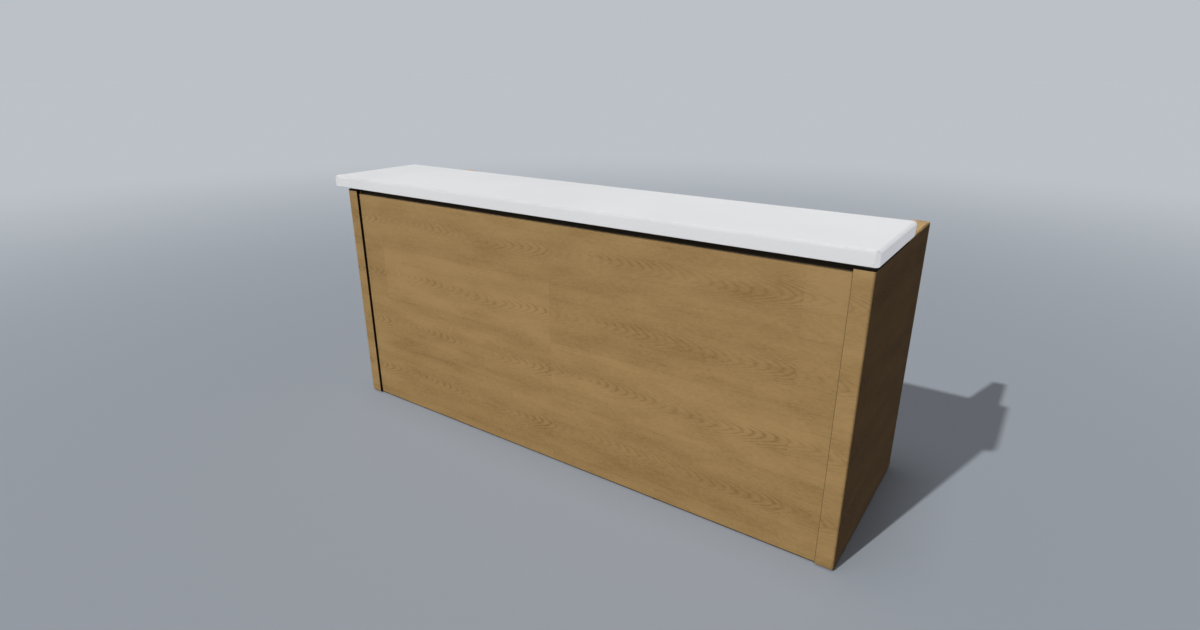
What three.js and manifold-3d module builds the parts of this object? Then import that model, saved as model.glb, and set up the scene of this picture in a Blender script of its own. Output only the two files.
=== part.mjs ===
// A free-standing reception desk: two thick veneered side panels, a recessed
// front panel, a floating white counter top over a black shadow gap, and a
// seated-height worktop with cable ports on the staff side.
//
// Millimetres. +X runs along the counter, the visitors stand at -Y, +Z is up.
// The origin is on the floor at the centre of the desk's outline.

import * as THREE from "three";
import { RoundedBoxGeometry } from "three/addons/geometries/RoundedBoxGeometry.js";
import { mergeVertices } from "three/addons/utils/BufferGeometryUtils.js";
import Module from "manifold-3d";

const wasm = await Module();
wasm.setup();

// ---------------------------------------------------------------------------
// Driving dimensions

const BODY_W = 2400; // outside of one side panel to outside of the other
const BASE_Z = 4; // the panels' undersides stand this far off the floor

const SIDE_T = 64; // side panels
const SIDE_D = 780;
const SIDE_TOP = 1053;
const SIDE_R = 8; // their edge rounding

const SLAB_L = 2433; // counter top
const SLAB_D = 478;
const SLAB_T = 50;
const SLAB_Z = 1070; // its underside
const SLAB_R = 10;
const OVERHANG_F = 55; // ahead of the side panels' front edges

const DEPTH = SIDE_D + OVERHANG_F; // whole outline, front to back
const Y_SLAB = -DEPTH / 2; // slab's front face
const Y_SIDE = Y_SLAB + OVERHANG_F; // side panels' front edges
const Y_BACK = DEPTH / 2; // side panels' rear edges
const X_IN = BODY_W / 2 - SIDE_T; // side panels' inner faces

const FRONT_T = 25; // front panel
const FRONT_RECESS = 11;
const FRONT_TOP = 1033;
const FRONT_GAP = 2; // open joint at each end
const Y_FRONT = Y_SIDE + FRONT_RECESS; // its face
const Y_FRONT_BACK = Y_FRONT + FRONT_T;

const BATTEN_SETBACK = 12; // black batten behind the front panel's face
const BATTEN_D = 43;

const WORK_TOP = 740; // worktop
const WORK_T = 25;
const WORK_Y1 = 400;
const WORK_Z = WORK_TOP - WORK_T;

const PLATE = 4; // steel plate of the shoes, cleats and corner brackets
const CBEAM_D = 40; // beam under the counter top, a square-edged tube
const CBEAM_H = 60;
const CBEAM_Y = 25;
const WBEAM_D = 30; // beam under the worktop
const WBEAM_H = 50;
const WBEAM_Y = 280;
const TUBE_WALL = 3;
const BEAM_END = 0.5; // gap at each end of a beam
const SHELF = 40; // how far a shoe's shelf reaches under the beam

const BOLT_R = 4; // M8
const BOLT_HOLE_R = 4.4;
const HEAD_R = 7.5; // across the hexagon's corners
const HEAD_H = 5.5;
const BOLT_X = 700;
const SHOE_BOLT_X = 1112;

const TRAY_L = 1600; // cable tray
const TRAY_Y0 = -262;
const TRAY_W = 120;
const TRAY_H = 80;
const TRAY_Z = 610;
const TRAY_T = 1.5;
const TRAY_LIP = 8;
const STRAP_T = 2.5;
const STRAP_W = 30;
const STRAP_FLANGE = 20;
const STRAP_X = 760;

const PORT_X = 640; // cable ports
const PORT_Y = -200;
const PORT_OPEN_X = 150;
const PORT_OPEN_Y = 70;
const PORT_WALL = 7;
const PORT_FLANGE = 15; // flange beyond the opening
const PORT_FLANGE_T = 3;
const PORT_DROP = 40; // collar below the worktop's surface
const PIN_R = 2;
const PIN_Y = PORT_Y - 29;
const PIN_Z = WORK_TOP - 0.5;
const KNUCKLE_R = 3.5;
const LID_X = 148;
const LID_REACH = 50; // from the pin to the lid's free edge

const FOOT_R = 20; // levelling feet in the side panels
const STUD_R = 5;
const STUD_TOP = 50;
const INSERT_R = 10;
const INSERT_H = 30;
const FOOT_Y = [-300, 355];
const FRONT_FOOT_R = 11; // slimmer feet in the front panel
const FRONT_STUD_R = 4;
const FRONT_STUD_TOP = 42;
const FRONT_INSERT_R = 7;
const FRONT_INSERT_H = 25;
const FRONT_FOOT_X = 500;

const PAD_R = 20; // spacer pads between the side panels and the counter top
const PAD_Y = [-290, 0];

const ROUND = 16; // sides of a round piece

// ---------------------------------------------------------------------------
// Finishes

const finish = (color, roughness, metalness) => () =>
  new THREE.MeshStandardMaterial({ color, roughness, metalness });
const oak = finish(0x967a52, 0.62, 0);
const white = finish(0xe4e5e8, 0.35, 0);
const laminate = finish(0xdcdcd8, 0.45, 0);
const black = finish(0x171513, 0.7, 0);
const coated = finish(0x26282b, 0.55, 0.2);
const zinc = finish(0xa9adb0, 0.4, 0.9);
const plastic = finish(0x2b2c2e, 0.5, 0);
const satin = finish(0xb9bcbf, 0.35, 0.9);
const rubber = finish(0x1b1b1c, 0.85, 0);

// ---------------------------------------------------------------------------
// Solids

// A closed geometry as a solid, for cutting and joining.
function solid(geometry) {
  const g = geometry.index ? geometry.toNonIndexed() : geometry.clone();
  g.deleteAttribute("normal");
  g.deleteAttribute("uv");
  const m = mergeVertices(g, 1e-4);
  return new wasm.Manifold(
    new wasm.Mesh({
      numProp: 3,
      vertProperties: new Float32Array(m.attributes.position.array),
      triVerts: new Uint32Array(m.index.array),
    }),
  );
}

function surface(s) {
  const m = s.getMesh();
  const g = new THREE.BufferGeometry();
  g.setAttribute("position", new THREE.BufferAttribute(m.vertProperties, 3));
  g.setIndex(new THREE.BufferAttribute(m.triVerts, 1));
  const flat = g.toNonIndexed();
  flat.computeVertexNormals();
  return flat;
}

const cut = (base, ...tools) =>
  surface(tools.reduce((s, t) => s.subtract(solid(t)), solid(base)));
const join = (...pieces) =>
  surface(pieces.map(solid).reduce((a, b) => a.add(b)));

function box(x0, x1, y0, y1, z0, z1) {
  return new THREE.BoxGeometry(x1 - x0, y1 - y0, z1 - z0).translate(
    (x0 + x1) / 2,
    (y0 + y1) / 2,
    (z0 + z1) / 2,
  );
}

function board(x0, x1, y0, y1, z0, z1, r, segments = 2) {
  return new RoundedBoxGeometry(
    x1 - x0,
    y1 - y0,
    z1 - z0,
    segments,
    r,
  ).translate((x0 + x1) / 2, (y0 + y1) / 2, (z0 + z1) / 2);
}

// Upright round bar, or a hexagon with sides = 6.
function upright(x, y, z0, z1, r, sides = ROUND) {
  return new THREE.CylinderGeometry(r, r, z1 - z0, sides)
    .rotateX(Math.PI / 2)
    .translate(x, y, (z0 + z1) / 2);
}

// Round bar along X.
function along(x0, x1, y, z, r, sides = ROUND) {
  return new THREE.CylinderGeometry(r, r, x1 - x0, sides)
    .rotateZ(Math.PI / 2)
    .translate((x0 + x1) / 2, y, z);
}

function outline(points) {
  return new THREE.Shape(points.map(([a, b]) => new THREE.Vector2(a, b)));
}

const plain = (depth) => ({ depth, bevelEnabled: false, curveSegments: 3 });

// A section in Y and Z, run along X.
function runX(shape, x0, x1) {
  return new THREE.ExtrudeGeometry(shape, plain(x1 - x0))
    .applyMatrix4(
      new THREE.Matrix4().set(0, 0, 1, 0, 1, 0, 0, 0, 0, 1, 0, 0, 0, 0, 0, 1),
    )
    .translate(x0, 0, 0);
}

// A section in Z and X, run along Y.
function runY(shape, y0, y1) {
  return new THREE.ExtrudeGeometry(shape, plain(y1 - y0))
    .applyMatrix4(
      new THREE.Matrix4().set(0, 1, 0, 0, 0, 0, 1, 0, 1, 0, 0, 0, 0, 0, 0, 1),
    )
    .translate(0, y0, 0);
}

// A section in X and Y, run along Z.
function runZ(shape, z0, z1) {
  return new THREE.ExtrudeGeometry(shape, plain(z1 - z0)).translate(0, 0, z0);
}

function rectangle(a0, a1, b0, b1, r = 0) {
  if (!r)
    return outline([
      [a0, b0],
      [a1, b0],
      [a1, b1],
      [a0, b1],
    ]);
  const s = new THREE.Shape();
  s.moveTo(a0 + r, b0);
  s.lineTo(a1 - r, b0);
  s.absarc(a1 - r, b0 + r, r, -Math.PI / 2, 0);
  s.lineTo(a1, b1 - r);
  s.absarc(a1 - r, b1 - r, r, 0, Math.PI / 2);
  s.lineTo(a0 + r, b1);
  s.absarc(a0 + r, b1 - r, r, Math.PI / 2, Math.PI);
  s.lineTo(a0, b0 + r);
  s.absarc(a0 + r, b0 + r, r, Math.PI, 1.5 * Math.PI);
  return s;
}

function withHole(shape, hole) {
  shape.holes.push(hole);
  return shape;
}

// Round piece turned about an upright axis; the profile is radius and height.
function turned(points, x, y, sides = ROUND) {
  return new THREE.LatheGeometry(
    points.map(([r, z]) => new THREE.Vector2(r, z)),
    sides,
  )
    .rotateX(Math.PI / 2)
    .translate(x, y, 0);
}

const desk = new THREE.Group();

function add(name, geometry, material) {
  const mesh = new THREE.Mesh(geometry, material());
  mesh.name = name;
  desk.add(mesh);
}

const SIDES = [
  ["left", -1],
  ["right", 1],
];

// ---------------------------------------------------------------------------
// Boards

const counterBolts = SIDES.flatMap(([side, s]) => [
  ["front_" + side, s * BOLT_X, Y_FRONT_BACK + 16.5, FRONT_TOP],
  ["rear_" + side, s * BOLT_X, CBEAM_Y, SLAB_Z - CBEAM_H],
]);
const COUNTER_BOLT_TOP = SLAB_Z + 26;

add(
  "counter_top",
  cut(
    board(
      -SLAB_L / 2,
      SLAB_L / 2,
      Y_SLAB,
      Y_SLAB + SLAB_D,
      SLAB_Z,
      SLAB_Z + SLAB_T,
      SLAB_R,
      3,
    ),
    ...counterBolts.map(([, x, y]) =>
      upright(x, y, SLAB_Z - 5, COUNTER_BOLT_TOP + 1, BOLT_HOLE_R),
    ),
  ),
  white,
);

for (const [side, s] of SIDES) {
  const x = s * (X_IN + SIDE_T / 2);
  add(
    "side_panel_" + side,
    cut(
      board(
        x - SIDE_T / 2,
        x + SIDE_T / 2,
        Y_SIDE,
        Y_BACK,
        BASE_Z,
        SIDE_TOP,
        SIDE_R,
        3,
      ),
      ...FOOT_Y.flatMap((y) => [
        upright(x, y, BASE_Z - 5, BASE_Z + INSERT_H + 0.5, INSERT_R + 0.4),
        upright(x, y, BASE_Z, STUD_TOP + 10, STUD_R + 1),
      ]),
    ),
    oak,
  );
}

add(
  "front_panel",
  cut(
    board(
      -X_IN + FRONT_GAP,
      X_IN - FRONT_GAP,
      Y_FRONT,
      Y_FRONT_BACK,
      BASE_Z,
      FRONT_TOP,
      1.5,
      1,
    ),
    ...SIDES.flatMap(([, s]) => [
      upright(
        s * FRONT_FOOT_X,
        Y_FRONT + FRONT_T / 2,
        BASE_Z - 5,
        BASE_Z + FRONT_INSERT_H + 0.5,
        FRONT_INSERT_R + 0.4,
      ),
      upright(
        s * FRONT_FOOT_X,
        Y_FRONT + FRONT_T / 2,
        BASE_Z,
        FRONT_STUD_TOP + 10,
        FRONT_STUD_R + 1,
      ),
    ]),
  ),
  oak,
);

const workBolts = SIDES.flatMap(([side, s]) => [
  ["front_" + side, s * BOLT_X, Y_FRONT_BACK + 26.5, WORK_Z - PLATE],
  ["rear_" + side, s * BOLT_X, WBEAM_Y, WORK_Z - WBEAM_H],
]);
const WORK_BOLT_TOP = WORK_Z + 16;

add(
  "worktop",
  cut(
    board(
      -X_IN + FRONT_GAP,
      X_IN - FRONT_GAP,
      Y_FRONT_BACK + 2,
      WORK_Y1,
      WORK_Z,
      WORK_TOP,
      2,
      1,
    ),
    ...SIDES.map(([, s]) =>
      box(
        s * PORT_X - PORT_OPEN_X / 2 - PORT_WALL - 1,
        s * PORT_X + PORT_OPEN_X / 2 + PORT_WALL + 1,
        PORT_Y - PORT_OPEN_Y / 2 - PORT_WALL - 1,
        PORT_Y + PORT_OPEN_Y / 2 + PORT_WALL + 1,
        WORK_Z - 5,
        WORK_TOP + 5,
      ),
    ),
    ...workBolts.map(([, x, y]) =>
      upright(x, y, WORK_Z - 5, WORK_BOLT_TOP + 1, BOLT_HOLE_R),
    ),
  ),
  laminate,
);

// ---------------------------------------------------------------------------
// What carries the counter top

add(
  "shadow_gap_batten",
  cut(
    box(
      -X_IN + BEAM_END,
      X_IN - BEAM_END,
      Y_FRONT + BATTEN_SETBACK,
      Y_FRONT + BATTEN_SETBACK + BATTEN_D,
      FRONT_TOP,
      SLAB_Z,
    ),
    ...counterBolts
      .filter(([name]) => name.startsWith("front"))
      .map(([, x, y]) =>
        upright(x, y, FRONT_TOP - 5, SLAB_Z + 5, BOLT_HOLE_R),
      ),
  ),
  black,
);

function tubeX(y, d, z0, z1) {
  return runX(
    withHole(
      rectangle(y - d / 2, y + d / 2, z0, z1),
      rectangle(
        y - d / 2 + TUBE_WALL,
        y + d / 2 - TUBE_WALL,
        z0 + TUBE_WALL,
        z1 - TUBE_WALL,
      ),
    ),
    -X_IN + PLATE + BEAM_END,
    X_IN - PLATE - BEAM_END,
  );
}

add(
  "counter_beam",
  cut(
    tubeX(CBEAM_Y, CBEAM_D, SLAB_Z - CBEAM_H, SLAB_Z),
    ...SIDES.flatMap(([, s]) => [
      upright(
        s * BOLT_X,
        CBEAM_Y,
        SLAB_Z - CBEAM_H - 5,
        SLAB_Z + 5,
        BOLT_HOLE_R,
      ),
      upright(
        s * SHOE_BOLT_X,
        CBEAM_Y,
        SLAB_Z - CBEAM_H - 5,
        SLAB_Z - CBEAM_H + 10,
        BOLT_HOLE_R,
      ),
    ]),
  ),
  coated,
);

add(
  "worktop_beam",
  cut(
    tubeX(WBEAM_Y, WBEAM_D, WORK_Z - WBEAM_H, WORK_Z),
    ...SIDES.flatMap(([, s]) => [
      upright(s * BOLT_X, WBEAM_Y, WORK_Z - WBEAM_H - 5, WORK_Z + 5, BOLT_HOLE_R),
      upright(
        s * SHOE_BOLT_X,
        WBEAM_Y,
        WORK_Z - WBEAM_H - 5,
        WORK_Z - WBEAM_H + 10,
        BOLT_HOLE_R,
      ),
    ]),
  ),
  coated,
);

// A shoe is a plate on the side panel with a shelf under the beam's end.
function shoe(s, y, width, shelfTop, plateTop) {
  const x = (v) => s * (X_IN - v);
  const z0 = shelfTop - PLATE;
  const ring = [
    [z0, x(0)],
    [plateTop, x(0)],
    [plateTop, x(PLATE)],
    [shelfTop, x(PLATE)],
    [shelfTop, x(SHELF)],
    [z0, x(SHELF)],
  ];
  return cut(
    runY(outline(ring), y - width / 2, y + width / 2),
    upright(s * SHOE_BOLT_X, y, z0 - 5, shelfTop + 5, BOLT_HOLE_R),
  );
}

// Hexagon-headed bolt that points up from its seat.
function bolt(x, y, seat, top) {
  return join(
    upright(x, y, seat - HEAD_H, seat, HEAD_R, 6),
    upright(x, y, seat - 2, top, BOLT_R),
  );
}

for (const [side, s] of SIDES) {
  const cShelf = SLAB_Z - CBEAM_H;
  const wShelf = WORK_Z - WBEAM_H;
  add("counter_beam_shoe_" + side, shoe(s, CBEAM_Y, 60, cShelf, 1044), coated);
  add("worktop_beam_shoe_" + side, shoe(s, WBEAM_Y, 50, wShelf, 711), coated);
  add(
    "counter_shoe_bolt_" + side,
    bolt(s * SHOE_BOLT_X, CBEAM_Y, cShelf - PLATE, cShelf + 8),
    zinc,
  );
  add(
    "worktop_shoe_bolt_" + side,
    bolt(s * SHOE_BOLT_X, WBEAM_Y, wShelf - PLATE, wShelf + 8),
    zinc,
  );
  PAD_Y.forEach((y, i) =>
    add(
      "spacer_pad_" + ["front", "rear"][i] + "_" + side,
      turned(
        [
          [0, SIDE_TOP],
          [PAD_R - 1, SIDE_TOP],
          [PAD_R, SIDE_TOP + 1],
          [PAD_R, SLAB_Z - 1],
          [PAD_R - 1, SLAB_Z],
          [0, SLAB_Z],
        ],
        s * (X_IN + SIDE_T / 2),
        y,
      ),
      rubber,
    ),
  );
}

for (const [name, x, y, seat] of counterBolts)
  add("counter_bolt_" + name, bolt(x, y, seat, COUNTER_BOLT_TOP), zinc);
for (const [name, x, y, seat] of workBolts)
  add("worktop_bolt_" + name, bolt(x, y, seat, WORK_BOLT_TOP), zinc);

// ---------------------------------------------------------------------------
// Cleats and corner brackets

for (const [side, s] of SIDES) {
  const x = (v) => s * (X_IN - v);
  add(
    "worktop_cleat_" + side,
    runY(
      outline([
        [WORK_Z - 40, x(0)],
        [WORK_Z, x(0)],
        [WORK_Z, x(40)],
        [WORK_Z - PLATE, x(40)],
        [WORK_Z - PLATE, x(PLATE)],
        [WORK_Z - 40, x(PLATE)],
      ]),
      -240,
      220,
    ),
    coated,
  );
  for (const [level, z] of [
    ["lower", 100],
    ["upper", 850],
  ])
    add(
      "corner_bracket_" + level + "_" + side,
      runZ(
        outline([
          [x(0), Y_FRONT_BACK],
          [x(0), Y_FRONT_BACK + 60],
          [x(PLATE), Y_FRONT_BACK + 60],
          [x(PLATE), Y_FRONT_BACK + PLATE],
          [x(60), Y_FRONT_BACK + PLATE],
          [x(60), Y_FRONT_BACK],
        ]),
        z,
        z + 120,
      ),
      coated,
    );
}

add(
  "worktop_cleat_front",
  cut(
    runX(
      outline([
        [Y_FRONT_BACK, WORK_Z - 40],
        [Y_FRONT_BACK + PLATE, WORK_Z - 40],
        [Y_FRONT_BACK + PLATE, WORK_Z - PLATE],
        [Y_FRONT_BACK + 40, WORK_Z - PLATE],
        [Y_FRONT_BACK + 40, WORK_Z],
        [Y_FRONT_BACK, WORK_Z],
      ]),
      -900,
      900,
    ),
    ...workBolts
      .filter(([name]) => name.startsWith("front"))
      .map(([, x, y]) =>
        upright(x, y, WORK_Z - PLATE - 5, WORK_Z + 5, BOLT_HOLE_R),
      ),
  ),
  coated,
);

// ---------------------------------------------------------------------------
// Cable tray, hung in three straps under the worktop

const TRAY_Y1 = TRAY_Y0 + TRAY_W;
const TRAY_TOP = TRAY_Z + TRAY_H;

add(
  "cable_tray",
  cut(
    runX(
      outline([
        [TRAY_Y0, TRAY_Z],
        [TRAY_Y1, TRAY_Z],
        [TRAY_Y1, TRAY_TOP],
        [TRAY_Y1 - TRAY_LIP, TRAY_TOP],
        [TRAY_Y1 - TRAY_LIP, TRAY_TOP - TRAY_T],
        [TRAY_Y1 - TRAY_T, TRAY_TOP - TRAY_T],
        [TRAY_Y1 - TRAY_T, TRAY_Z + TRAY_T],
        [TRAY_Y0 + TRAY_T, TRAY_Z + TRAY_T],
        [TRAY_Y0 + TRAY_T, TRAY_TOP - TRAY_T],
        [TRAY_Y0 + TRAY_LIP, TRAY_TOP - TRAY_T],
        [TRAY_Y0 + TRAY_LIP, TRAY_TOP],
        [TRAY_Y0, TRAY_TOP],
      ]),
      -TRAY_L / 2,
      TRAY_L / 2,
    ),
    ...[-560, -400, -240, -80, 80, 240, 400, 560].map((x) =>
      box(x - 15, x + 15, -206, -198, TRAY_Z - 5, TRAY_Z + 10),
    ),
  ),
  coated,
);

const S = STRAP_T;
for (const [place, x] of [
  ["left", -STRAP_X],
  ["middle", 0],
  ["right", STRAP_X],
])
  add(
    "tray_strap_" + place,
    runX(
      outline([
        [TRAY_Y0 - S, TRAY_Z - S],
        [TRAY_Y1 + S, TRAY_Z - S],
        [TRAY_Y1 + S, WORK_Z - S],
        [TRAY_Y1 + S + STRAP_FLANGE, WORK_Z - S],
        [TRAY_Y1 + S + STRAP_FLANGE, WORK_Z],
        [TRAY_Y1, WORK_Z],
        [TRAY_Y1, TRAY_Z],
        [TRAY_Y0, TRAY_Z],
        [TRAY_Y0, WORK_Z],
        [TRAY_Y0 - S - STRAP_FLANGE, WORK_Z],
        [TRAY_Y0 - S - STRAP_FLANGE, WORK_Z - S],
        [TRAY_Y0 - S, WORK_Z - S],
      ]),
      x - STRAP_W / 2,
      x + STRAP_W / 2,
    ),
    coated,
  );

// ---------------------------------------------------------------------------
// Cable ports: a frame in the worktop, and a lid that flips up on a pin

for (const [side, s] of SIDES) {
  const cx = s * PORT_X;
  const ax = PORT_OPEN_X / 2;
  const ay = PORT_OPEN_Y / 2;
  const opening = () => rectangle(cx - ax, cx + ax, PORT_Y - ay, PORT_Y + ay, 3);
  const ring = (grow, r) =>
    withHole(
      rectangle(
        cx - ax - grow,
        cx + ax + grow,
        PORT_Y - ay - grow,
        PORT_Y + ay + grow,
        r,
      ),
      opening(),
    );
  const ledge = (e) =>
    box(
      Math.min(cx + e * (ax - 4), cx + e * (ax + 2)),
      Math.max(cx + e * (ax - 4), cx + e * (ax + 2)),
      PORT_Y - 18,
      PORT_Y + ay - 3,
      WORK_TOP - 5,
      WORK_TOP,
    );
  add(
    "port_frame_" + side,
    surface(
      solid(runZ(ring(PORT_FLANGE, 8), WORK_TOP, WORK_TOP + PORT_FLANGE_T))
        .add(
          solid(
            runZ(
              ring(PORT_WALL, 6),
              WORK_TOP - PORT_DROP,
              WORK_TOP + PORT_FLANGE_T,
            ),
          ),
        )
        .add(solid(ledge(-1)))
        .add(solid(ledge(1)))
        .subtract(
          solid(along(cx - ax - 5.3, cx + ax + 5.3, PIN_Y, PIN_Z, PIN_R + 0.3)),
        ),
    ),
    plastic,
  );
  add(
    "port_pin_" + side,
    along(cx - ax - 5, cx + ax + 5, PIN_Y, PIN_Z, PIN_R),
    zinc,
  );
  add(
    "port_lid_" + side,
    surface(
      solid(along(cx - LID_X / 2, cx + LID_X / 2, PIN_Y, PIN_Z, KNUCKLE_R))
        .add(
          solid(
            runZ(
              rectangle(
                cx - LID_X / 2,
                cx + LID_X / 2,
                PIN_Y,
                PIN_Y + LID_REACH,
              ),
              WORK_TOP,
              WORK_TOP + PORT_FLANGE_T,
            ),
          ),
        )
        .subtract(
          solid(
            along(
              cx - LID_X / 2 - 5,
              cx + LID_X / 2 + 5,
              PIN_Y,
              PIN_Z,
              PIN_R + 0.1,
            ),
          ),
        ),
    ),
    satin,
  );
}

// ---------------------------------------------------------------------------
// Levelling feet and the inserts they screw into

function foot(x, y, padR, studR, top) {
  return turned(
    [
      [0, 0],
      [padR - 1, 0],
      [padR, 1],
      [padR, BASE_Z],
      [studR, BASE_Z],
      [studR, top],
      [0, top],
    ],
    x,
    y,
  );
}

function insert(x, y, outer, inner, height) {
  return turned(
    [
      [inner, BASE_Z],
      [outer, BASE_Z],
      [outer, BASE_Z + height],
      [inner, BASE_Z + height],
      [inner, BASE_Z],
    ],
    x,
    y,
  );
}

for (const [side, s] of SIDES) {
  const x = s * (X_IN + SIDE_T / 2);
  FOOT_Y.forEach((y, i) => {
    const place = ["front", "rear"][i] + "_" + side;
    add("foot_" + place, foot(x, y, FOOT_R, STUD_R, STUD_TOP), zinc);
    add(
      "foot_insert_" + place,
      insert(x, y, INSERT_R, STUD_R + 0.3, INSERT_H),
      zinc,
    );
  });
  const fx = s * FRONT_FOOT_X;
  const fy = Y_FRONT + FRONT_T / 2;
  add(
    "foot_panel_" + side,
    foot(fx, fy, FRONT_FOOT_R, FRONT_STUD_R, FRONT_STUD_TOP),
    zinc,
  );
  add(
    "foot_insert_panel_" + side,
    insert(fx, fy, FRONT_INSERT_R, FRONT_STUD_R + 0.3, FRONT_INSERT_H),
    zinc,
  );
}

export default desk;
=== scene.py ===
import math

import bmesh
import bpy
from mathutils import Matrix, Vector


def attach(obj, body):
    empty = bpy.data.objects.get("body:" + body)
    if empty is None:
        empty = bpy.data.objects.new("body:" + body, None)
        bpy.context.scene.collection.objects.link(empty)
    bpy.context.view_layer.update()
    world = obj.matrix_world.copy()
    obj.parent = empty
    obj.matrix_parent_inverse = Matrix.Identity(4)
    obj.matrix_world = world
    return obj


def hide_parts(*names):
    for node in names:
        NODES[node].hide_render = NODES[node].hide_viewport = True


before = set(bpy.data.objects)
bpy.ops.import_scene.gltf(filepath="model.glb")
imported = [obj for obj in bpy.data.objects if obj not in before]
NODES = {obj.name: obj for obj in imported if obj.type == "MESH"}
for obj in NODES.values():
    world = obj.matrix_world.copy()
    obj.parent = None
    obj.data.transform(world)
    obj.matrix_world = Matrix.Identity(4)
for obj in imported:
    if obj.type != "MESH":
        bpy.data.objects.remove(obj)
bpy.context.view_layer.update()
scene = bpy.context.scene

MM = 0.001

# ---------------------------------------------------------------------------
# Camera: stands at the desk's front right, above its top

cam_data = bpy.data.cameras.new("main_camera")
cam_data.sensor_fit = "HORIZONTAL"
cam_data.sensor_width = 36.0
cam_data.lens = 20.266
cam_data.clip_end = 300.0
cam = bpy.data.objects.new("main_camera", cam_data)
cam.location = (1.60846, -2.30581, 1.58224)
cam.rotation_euler = (math.radians(69.990), 0.0, math.radians(34.924))
scene.collection.objects.link(cam)
scene.camera = cam


# ---------------------------------------------------------------------------
# Shader helper


class Shader:
    """One material: a Principled surface and short calls for the nodes that feed it."""

    def __init__(self, name):
        self.mat = bpy.data.materials.new(name)
        self.mat.use_nodes = True
        self.tree = self.mat.node_tree
        self.tree.nodes.clear()
        out = self.tree.nodes.new("ShaderNodeOutputMaterial")
        self.bsdf = self.tree.nodes.new("ShaderNodeBsdfPrincipled")
        self.tree.links.new(self.bsdf.outputs[0], out.inputs[0])
        self.coord = self.tree.nodes.new("ShaderNodeTexCoord").outputs["Object"]
        sep = self.tree.nodes.new("ShaderNodeSeparateXYZ")
        self.tree.links.new(self.coord, sep.inputs[0])
        self.xyz = [sep.outputs[0], sep.outputs[1], sep.outputs[2]]

    def put(self, socket, value):
        if isinstance(value, bpy.types.NodeSocket):
            self.tree.links.new(value, socket)
        else:
            socket.default_value = value

    def set(self, **values):
        for key, value in values.items():
            self.put(self.bsdf.inputs[key.replace("_", " ")], value)
        return self

    def math(self, op, a, b=None, c=None, clamp=False):
        n = self.tree.nodes.new("ShaderNodeMath")
        n.operation = op
        n.use_clamp = clamp
        for i, v in enumerate((a, b, c)):
            if v is not None:
                self.put(n.inputs[i], v)
        return n.outputs[0]

    def add(self, a, b):
        return self.math("ADD", a, b)

    def sub(self, a, b):
        return self.math("SUBTRACT", a, b)

    def mul(self, a, b):
        return self.math("MULTIPLY", a, b)

    def mad(self, a, b, c):
        return self.math("MULTIPLY_ADD", a, b, c)

    def vec(self, x, y, z):
        n = self.tree.nodes.new("ShaderNodeCombineXYZ")
        for i, v in enumerate((x, y, z)):
            self.put(n.inputs[i], v)
        return n.outputs[0]

    def scaled(self, sx, sy, sz, seed=0.0):
        x, y, z = self.xyz
        return self.vec(self.mul(x, sx), self.mul(y, sy), self.mad(z, sz, seed))

    def noise(self, vector, scale=1.0, detail=2.0, rough=0.5, distort=0.0):
        n = self.tree.nodes.new("ShaderNodeTexNoise")
        n.noise_dimensions = "3D"
        self.put(n.inputs["Vector"], vector)
        n.inputs["Scale"].default_value = scale
        n.inputs["Detail"].default_value = detail
        n.inputs["Roughness"].default_value = rough
        n.inputs["Distortion"].default_value = distort
        return n.outputs[0]

    def white(self, vector):
        n = self.tree.nodes.new("ShaderNodeTexWhiteNoise")
        n.noise_dimensions = "3D"
        self.put(n.inputs["Vector"], vector)
        return n.outputs["Value"]

    def cells(self, vector, scale=1.0, feature="F1"):
        n = self.tree.nodes.new("ShaderNodeTexVoronoi")
        n.feature = feature
        self.put(n.inputs["Vector"], vector)
        n.inputs["Scale"].default_value = scale
        return n.outputs["Distance"]

    def span(self, value, a, b, c=0.0, d=1.0, smooth=False):
        n = self.tree.nodes.new("ShaderNodeMapRange")
        n.interpolation_type = "SMOOTHSTEP" if smooth else "LINEAR"
        n.clamp = True
        self.put(n.inputs[0], value)
        for i, v in enumerate((a, b, c, d)):
            n.inputs[i + 1].default_value = v
        return n.outputs[0]

    def ramp(self, value, stops, kind="LINEAR"):
        n = self.tree.nodes.new("ShaderNodeValToRGB")
        n.color_ramp.interpolation = kind
        el = n.color_ramp.elements
        while len(el) > 1:
            el.remove(el[-1])
        el[0].position, el[0].color = stops[0][0], tuple(stops[0][1]) + (1.0,)
        for pos, col in stops[1:]:
            e = el.new(pos)
            e.color = tuple(col) + (1.0,)
        self.put(n.inputs[0], value)
        return n.outputs[0]

    def mix(self, fac, a, b, blend="MIX"):
        n = self.tree.nodes.new("ShaderNodeMix")
        n.data_type = "RGBA"
        n.blend_type = blend
        n.clamp_factor = True
        self.put(n.inputs[0], fac)
        for i, v in ((6, a), (7, b)):
            self.put(n.inputs[i], v if isinstance(v, bpy.types.NodeSocket) else tuple(v) + (1.0,))
        return n.outputs[2]

    def bump(self, height, strength, distance, normal=None):
        n = self.tree.nodes.new("ShaderNodeBump")
        n.inputs["Strength"].default_value = strength
        n.inputs["Distance"].default_value = distance
        self.put(n.inputs["Height"], height)
        if normal is not None:
            self.put(n.inputs["Normal"], normal)
        return n.outputs[0]


# ---------------------------------------------------------------------------
# Finishes

# Oak veneer. Leaves 1000 x 251.5 mm, slip-matched: every leaf shows nearly the
# same flat-sawn figure, with arches that open towards one end.
LEAF_L = 1.0
LEAF_H = 0.2515
OAK_LIGHT = (0.438, 0.285, 0.122)
OAK_MID = (0.363, 0.232, 0.094)
OAK_DARK = (0.194, 0.111, 0.036)


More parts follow.
